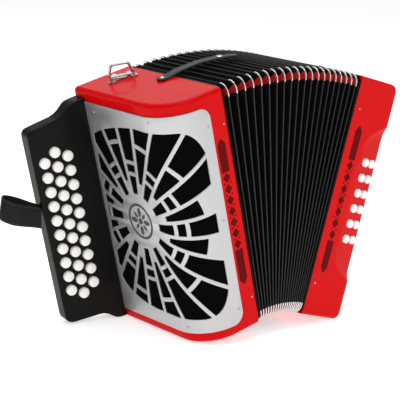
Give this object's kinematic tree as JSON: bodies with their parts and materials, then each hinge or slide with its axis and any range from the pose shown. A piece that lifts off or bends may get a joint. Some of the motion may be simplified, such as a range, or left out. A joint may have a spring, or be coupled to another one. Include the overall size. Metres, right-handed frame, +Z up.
{
  "type": "button accordion",
  "caption": "Diatonic button accordion with a wrapped sunburst grille, pleated bellows opened like a fan, keyboard and bass buttons, straps and top fittings.",
  "frame": {"origin": "middle of the whole instrument's box, on the surface it stands on", "axes": "+Z up, +X from the treble side towards the bass side, -Y towards the fronts"},
  "size_m": [0.4814, 0.2028, 0.3396],
  "materials": {
    "red_lacquer": "high gloss lacquer",
    "black_lacquer": "satin black lacquer",
    "brushed_silver": "fine brushed, clear coated",
    "black_cloth": "fine open-weave cloth",
    "chrome": "polished",
    "black_leather": "fine grain, satin",
    "bellows_card": "cloth-covered card, satin",
    "bellows_frame_black": "black stained",
    "white_plastic": "polished",
    "reed_wood": "plain spruce"
  },
  "bodies": {
    "treble": {"treble_casing": "red_lacquer", "treble_grille": "brushed_silver", "grille_cloth": "black_cloth", "keyboard_housing": "black_lacquer", "treble_reed_board": "reed_wood", "treble_bellows_frame": "bellows_frame_black", "bellows": "bellows_card", "thumb_strap": "black_leather", "strap_bracket": "chrome"},
    "bass": {"bass_casing": "red_lacquer", "bass_reed_board": "reed_wood", "bass_bellows_frame": "bellows_frame_black", "bass_hand_strap": "black_leather", "bass_strap_stud": "chrome"},
    "closing_strap": {"bellows_strap": "black_leather"},
    "shoulder_ring": {"strap_ring": "chrome"},
    "treble_key_row1_01": {"treble_key_row1_01": "white_plastic"},
    "treble_key_row1_02": {"treble_key_row1_02": "white_plastic"},
    "treble_key_row1_03": {"treble_key_row1_03": "white_plastic"},
    "treble_key_row1_04": {"treble_key_row1_04": "white_plastic"},
    "treble_key_row1_05": {"treble_key_row1_05": "white_plastic"},
    "treble_key_row1_06": {"treble_key_row1_06": "white_plastic"},
    "treble_key_row1_07": {"treble_key_row1_07": "white_plastic"},
    "treble_key_row1_08": {"treble_key_row1_08": "white_plastic"},
    "treble_key_row1_09": {"treble_key_row1_09": "white_plastic"},
    "treble_key_row1_10": {"treble_key_row1_10": "white_plastic"},
    "treble_key_row2_01": {"treble_key_row2_01": "white_plastic"},
    "treble_key_row2_02": {"treble_key_row2_02": "white_plastic"},
    "treble_key_row2_03": {"treble_key_row2_03": "white_plastic"},
    "treble_key_row2_04": {"treble_key_row2_04": "white_plastic"},
    "treble_key_row2_05": {"treble_key_row2_05": "white_plastic"},
    "treble_key_row2_06": {"treble_key_row2_06": "white_plastic"},
    "treble_key_row2_07": {"treble_key_row2_07": "white_plastic"},
    "treble_key_row2_08": {"treble_key_row2_08": "white_plastic"},
    "treble_key_row2_09": {"treble_key_row2_09": "white_plastic"},
    "treble_key_row2_10": {"treble_key_row2_10": "white_plastic"},
    "treble_key_row2_11": {"treble_key_row2_11": "white_plastic"},
    "treble_key_row3_01": {"treble_key_row3_01": "white_plastic"},
    "treble_key_row3_02": {"treble_key_row3_02": "white_plastic"},
    "treble_key_row3_03": {"treble_key_row3_03": "white_plastic"},
    "treble_key_row3_04": {"treble_key_row3_04": "white_plastic"},
    "treble_key_row3_05": {"treble_key_row3_05": "white_plastic"},
    "treble_key_row3_06": {"treble_key_row3_06": "white_plastic"},
    "treble_key_row3_07": {"treble_key_row3_07": "white_plastic"},
    "treble_key_row3_08": {"treble_key_row3_08": "white_plastic"},
    "treble_key_row3_09": {"treble_key_row3_09": "white_plastic"},
    "treble_key_row3_10": {"treble_key_row3_10": "white_plastic"},
    "bass_button_row1_01": {"bass_button_row1_01": "white_plastic"},
    "bass_button_row1_02": {"bass_button_row1_02": "white_plastic"},
    "bass_button_row1_03": {"bass_button_row1_03": "white_plastic"},
    "bass_button_row1_04": {"bass_button_row1_04": "white_plastic"},
    "bass_button_row1_05": {"bass_button_row1_05": "white_plastic"},
    "bass_button_row1_06": {"bass_button_row1_06": "white_plastic"},
    "bass_button_row2_01": {"bass_button_row2_01": "white_plastic"},
    "bass_button_row2_02": {"bass_button_row2_02": "white_plastic"},
    "bass_button_row2_03": {"bass_button_row2_03": "white_plastic"},
    "bass_button_row2_04": {"bass_button_row2_04": "white_plastic"},
    "bass_button_row2_05": {"bass_button_row2_05": "white_plastic"},
    "bass_button_row2_06": {"bass_button_row2_06": "white_plastic"},
    "air_button": {"air_button": "white_plastic"}
  },
  "joints": [
    {"name": "bellows_fan", "type": "hinge", "parent": "treble", "child": "bass", "pos_m": [0.04977, -0.00701, 0.01787], "axis": [0, 1, 0], "range_deg": [-30, 20], "deforming": ["bellows"]},
    {"name": "strap_lift", "type": "hinge", "parent": "treble", "child": "closing_strap", "pos_m": [-0.06761, -0.00701, 0.31804], "axis": [0, 1, 0], "range_deg": [-5.5, 4]},
    {"name": "ring_swing", "type": "hinge", "parent": "treble", "child": "shoulder_ring", "pos_m": [-0.0934, 0.04849, 0.31624], "axis": [0.8419, -0.5, 0.2029], "range_deg": [-75, 75]},
    {"name": "press_treble_key_row1_01", "type": "slide", "parent": "treble", "child": "treble_key_row1_01", "axis": [0.1521, 0.9877, 0.0367], "range_m": [0, 0.004], "stiffness_N_per_m": 120, "springref_m": -0.002},
    {"name": "press_treble_key_row1_02", "type": "slide", "parent": "treble", "child": "treble_key_row1_02", "axis": [0.1521, 0.9877, 0.0367], "range_m": [0, 0.004], "stiffness_N_per_m": 120, "springref_m": -0.002},
    {"name": "press_treble_key_row1_03", "type": "slide", "parent": "treble", "child": "treble_key_row1_03", "axis": [0.1521, 0.9877, 0.0367], "range_m": [0, 0.004], "stiffness_N_per_m": 120, "springref_m": -0.002},
    {"name": "press_treble_key_row1_04", "type": "slide", "parent": "treble", "child": "treble_key_row1_04", "axis": [0.1521, 0.9877, 0.0367], "range_m": [0, 0.004], "stiffness_N_per_m": 120, "springref_m": -0.002},
    {"name": "press_treble_key_row1_05", "type": "slide", "parent": "treble", "child": "treble_key_row1_05", "axis": [0.1521, 0.9877, 0.0367], "range_m": [0, 0.004], "stiffness_N_per_m": 120, "springref_m": -0.002},
    {"name": "press_treble_key_row1_06", "type": "slide", "parent": "treble", "child": "treble_key_row1_06", "axis": [0.1521, 0.9877, 0.0367], "range_m": [0, 0.004], "stiffness_N_per_m": 120, "springref_m": -0.002},
    {"name": "press_treble_key_row1_07", "type": "slide", "parent": "treble", "child": "treble_key_row1_07", "axis": [0.1521, 0.9877, 0.0367], "range_m": [0, 0.004], "stiffness_N_per_m": 120, "springref_m": -0.002},
    {"name": "press_treble_key_row1_08", "type": "slide", "parent": "treble", "child": "treble_key_row1_08", "axis": [0.1521, 0.9877, 0.0367], "range_m": [0, 0.004], "stiffness_N_per_m": 120, "springref_m": -0.002},
    {"name": "press_treble_key_row1_09", "type": "slide", "parent": "treble", "child": "treble_key_row1_09", "axis": [0.1521, 0.9877, 0.0367], "range_m": [0, 0.004], "stiffness_N_per_m": 120, "springref_m": -0.002},
    {"name": "press_treble_key_row1_10", "type": "slide", "parent": "treble", "child": "treble_key_row1_10", "axis": [0.1521, 0.9877, 0.0367], "range_m": [0, 0.004], "stiffness_N_per_m": 120, "springref_m": -0.002},
    {"name": "press_treble_key_row2_01", "type": "slide", "parent": "treble", "child": "treble_key_row2_01", "axis": [0.1521, 0.9877, 0.0367], "range_m": [0, 0.004], "stiffness_N_per_m": 120, "springref_m": -0.002},
    {"name": "press_treble_key_row2_02", "type": "slide", "parent": "treble", "child": "treble_key_row2_02", "axis": [0.1521, 0.9877, 0.0367], "range_m": [0, 0.004], "stiffness_N_per_m": 120, "springref_m": -0.002},
    {"name": "press_treble_key_row2_03", "type": "slide", "parent": "treble", "child": "treble_key_row2_03", "axis": [0.1521, 0.9877, 0.0367], "range_m": [0, 0.004], "stiffness_N_per_m": 120, "springref_m": -0.002},
    {"name": "press_treble_key_row2_04", "type": "slide", "parent": "treble", "child": "treble_key_row2_04", "axis": [0.1521, 0.9877, 0.0367], "range_m": [0, 0.004], "stiffness_N_per_m": 120, "springref_m": -0.002},
    {"name": "press_treble_key_row2_05", "type": "slide", "parent": "treble", "child": "treble_key_row2_05", "axis": [0.1521, 0.9877, 0.0367], "range_m": [0, 0.004], "stiffness_N_per_m": 120, "springref_m": -0.002},
    {"name": "press_treble_key_row2_06", "type": "slide", "parent": "treble", "child": "treble_key_row2_06", "axis": [0.1521, 0.9877, 0.0367], "range_m": [0, 0.004], "stiffness_N_per_m": 120, "springref_m": -0.002},
    {"name": "press_treble_key_row2_07", "type": "slide", "parent": "treble", "child": "treble_key_row2_07", "axis": [0.1521, 0.9877, 0.0367], "range_m": [0, 0.004], "stiffness_N_per_m": 120, "springref_m": -0.002},
    {"name": "press_treble_key_row2_08", "type": "slide", "parent": "treble", "child": "treble_key_row2_08", "axis": [0.1521, 0.9877, 0.0367], "range_m": [0, 0.004], "stiffness_N_per_m": 120, "springref_m": -0.002},
    {"name": "press_treble_key_row2_09", "type": "slide", "parent": "treble", "child": "treble_key_row2_09", "axis": [0.1521, 0.9877, 0.0367], "range_m": [0, 0.004], "stiffness_N_per_m": 120, "springref_m": -0.002},
    {"name": "press_treble_key_row2_10", "type": "slide", "parent": "treble", "child": "treble_key_row2_10", "axis": [0.1521, 0.9877, 0.0367], "range_m": [0, 0.004], "stiffness_N_per_m": 120, "springref_m": -0.002},
    {"name": "press_treble_key_row2_11", "type": "slide", "parent": "treble", "child": "treble_key_row2_11", "axis": [0.1521, 0.9877, 0.0367], "range_m": [0, 0.004], "stiffness_N_per_m": 120, "springref_m": -0.002},
    {"name": "press_treble_key_row3_01", "type": "slide", "parent": "treble", "child": "treble_key_row3_01", "axis": [0.1521, 0.9877, 0.0367], "range_m": [0, 0.004], "stiffness_N_per_m": 120, "springref_m": -0.002},
    {"name": "press_treble_key_row3_02", "type": "slide", "parent": "treble", "child": "treble_key_row3_02", "axis": [0.1521, 0.9877, 0.0367], "range_m": [0, 0.004], "stiffness_N_per_m": 120, "springref_m": -0.002},
    {"name": "press_treble_key_row3_03", "type": "slide", "parent": "treble", "child": "treble_key_row3_03", "axis": [0.1521, 0.9877, 0.0367], "range_m": [0, 0.004], "stiffness_N_per_m": 120, "springref_m": -0.002},
    {"name": "press_treble_key_row3_04", "type": "slide", "parent": "treble", "child": "treble_key_row3_04", "axis": [0.1521, 0.9877, 0.0367], "range_m": [0, 0.004], "stiffness_N_per_m": 120, "springref_m": -0.002},
    {"name": "press_treble_key_row3_05", "type": "slide", "parent": "treble", "child": "treble_key_row3_05", "axis": [0.1521, 0.9877, 0.0367], "range_m": [0, 0.004], "stiffness_N_per_m": 120, "springref_m": -0.002},
    {"name": "press_treble_key_row3_06", "type": "slide", "parent": "treble", "child": "treble_key_row3_06", "axis": [0.1521, 0.9877, 0.0367], "range_m": [0, 0.004], "stiffness_N_per_m": 120, "springref_m": -0.002},
    {"name": "press_treble_key_row3_07", "type": "slide", "parent": "treble", "child": "treble_key_row3_07", "axis": [0.1521, 0.9877, 0.0367], "range_m": [0, 0.004], "stiffness_N_per_m": 120, "springref_m": -0.002},
    {"name": "press_treble_key_row3_08", "type": "slide", "parent": "treble", "child": "treble_key_row3_08", "axis": [0.1521, 0.9877, 0.0367], "range_m": [0, 0.004], "stiffness_N_per_m": 120, "springref_m": -0.002},
    {"name": "press_treble_key_row3_09", "type": "slide", "parent": "treble", "child": "treble_key_row3_09", "axis": [0.1521, 0.9877, 0.0367], "range_m": [0, 0.004], "stiffness_N_per_m": 120, "springref_m": -0.002},
    {"name": "press_treble_key_row3_10", "type": "slide", "parent": "treble", "child": "treble_key_row3_10", "axis": [0.1521, 0.9877, 0.0367], "range_m": [0, 0.004], "stiffness_N_per_m": 120, "springref_m": -0.002},
    {"name": "press_bass_button_row1_01", "type": "slide", "parent": "bass", "child": "bass_button_row1_01", "axis": [-0.2112, 0.9754, 0.0624], "range_m": [0, 0.003], "stiffness_N_per_m": 120, "springref_m": -0.002},
    {"name": "press_bass_button_row1_02", "type": "slide", "parent": "bass", "child": "bass_button_row1_02", "axis": [-0.2112, 0.9754, 0.0624], "range_m": [0, 0.003], "stiffness_N_per_m": 120, "springref_m": -0.002},
    {"name": "press_bass_button_row1_03", "type": "slide", "parent": "bass", "child": "bass_button_row1_03", "axis": [-0.2112, 0.9754, 0.0624], "range_m": [0, 0.003], "stiffness_N_per_m": 120, "springref_m": -0.002},
    {"name": "press_bass_button_row1_04", "type": "slide", "parent": "bass", "child": "bass_button_row1_04", "axis": [-0.2112, 0.9754, 0.0624], "range_m": [0, 0.003], "stiffness_N_per_m": 120, "springref_m": -0.002},
    {"name": "press_bass_button_row1_05", "type": "slide", "parent": "bass", "child": "bass_button_row1_05", "axis": [-0.2112, 0.9754, 0.0624], "range_m": [0, 0.003], "stiffness_N_per_m": 120, "springref_m": -0.002},
    {"name": "press_bass_button_row1_06", "type": "slide", "parent": "bass", "child": "bass_button_row1_06", "axis": [-0.2112, 0.9754, 0.0624], "range_m": [0, 0.003], "stiffness_N_per_m": 120, "springref_m": -0.002},
    {"name": "press_bass_button_row2_01", "type": "slide", "parent": "bass", "child": "bass_button_row2_01", "axis": [-0.2112, 0.9754, 0.0624], "range_m": [0, 0.003], "stiffness_N_per_m": 120, "springref_m": -0.002},
    {"name": "press_bass_button_row2_02", "type": "slide", "parent": "bass", "child": "bass_button_row2_02", "axis": [-0.2112, 0.9754, 0.0624], "range_m": [0, 0.003], "stiffness_N_per_m": 120, "springref_m": -0.002},
    {"name": "press_bass_button_row2_03", "type": "slide", "parent": "bass", "child": "bass_button_row2_03", "axis": [-0.2112, 0.9754, 0.0624], "range_m": [0, 0.003], "stiffness_N_per_m": 120, "springref_m": -0.002},
    {"name": "press_bass_button_row2_04", "type": "slide", "parent": "bass", "child": "bass_button_row2_04", "axis": [-0.2112, 0.9754, 0.0624], "range_m": [0, 0.003], "stiffness_N_per_m": 120, "springref_m": -0.002},
    {"name": "press_bass_button_row2_05", "type": "slide", "parent": "bass", "child": "bass_button_row2_05", "axis": [-0.2112, 0.9754, 0.0624], "range_m": [0, 0.003], "stiffness_N_per_m": 120, "springref_m": -0.002},
    {"name": "press_bass_button_row2_06", "type": "slide", "parent": "bass", "child": "bass_button_row2_06", "axis": [-0.2112, 0.9754, 0.0624], "range_m": [0, 0.003], "stiffness_N_per_m": 120, "springref_m": -0.002},
    {"name": "press_air_button", "type": "slide", "parent": "bass", "child": "air_button", "axis": [-0.9591, 0, 0.2831], "range_m": [0, 0.005], "stiffness_N_per_m": 150, "springref_m": -0.002}
  ],
  "couplings": [
    {"joint": "strap_lift", "follows": "bellows_fan", "ratio": 0.17}
  ]
}
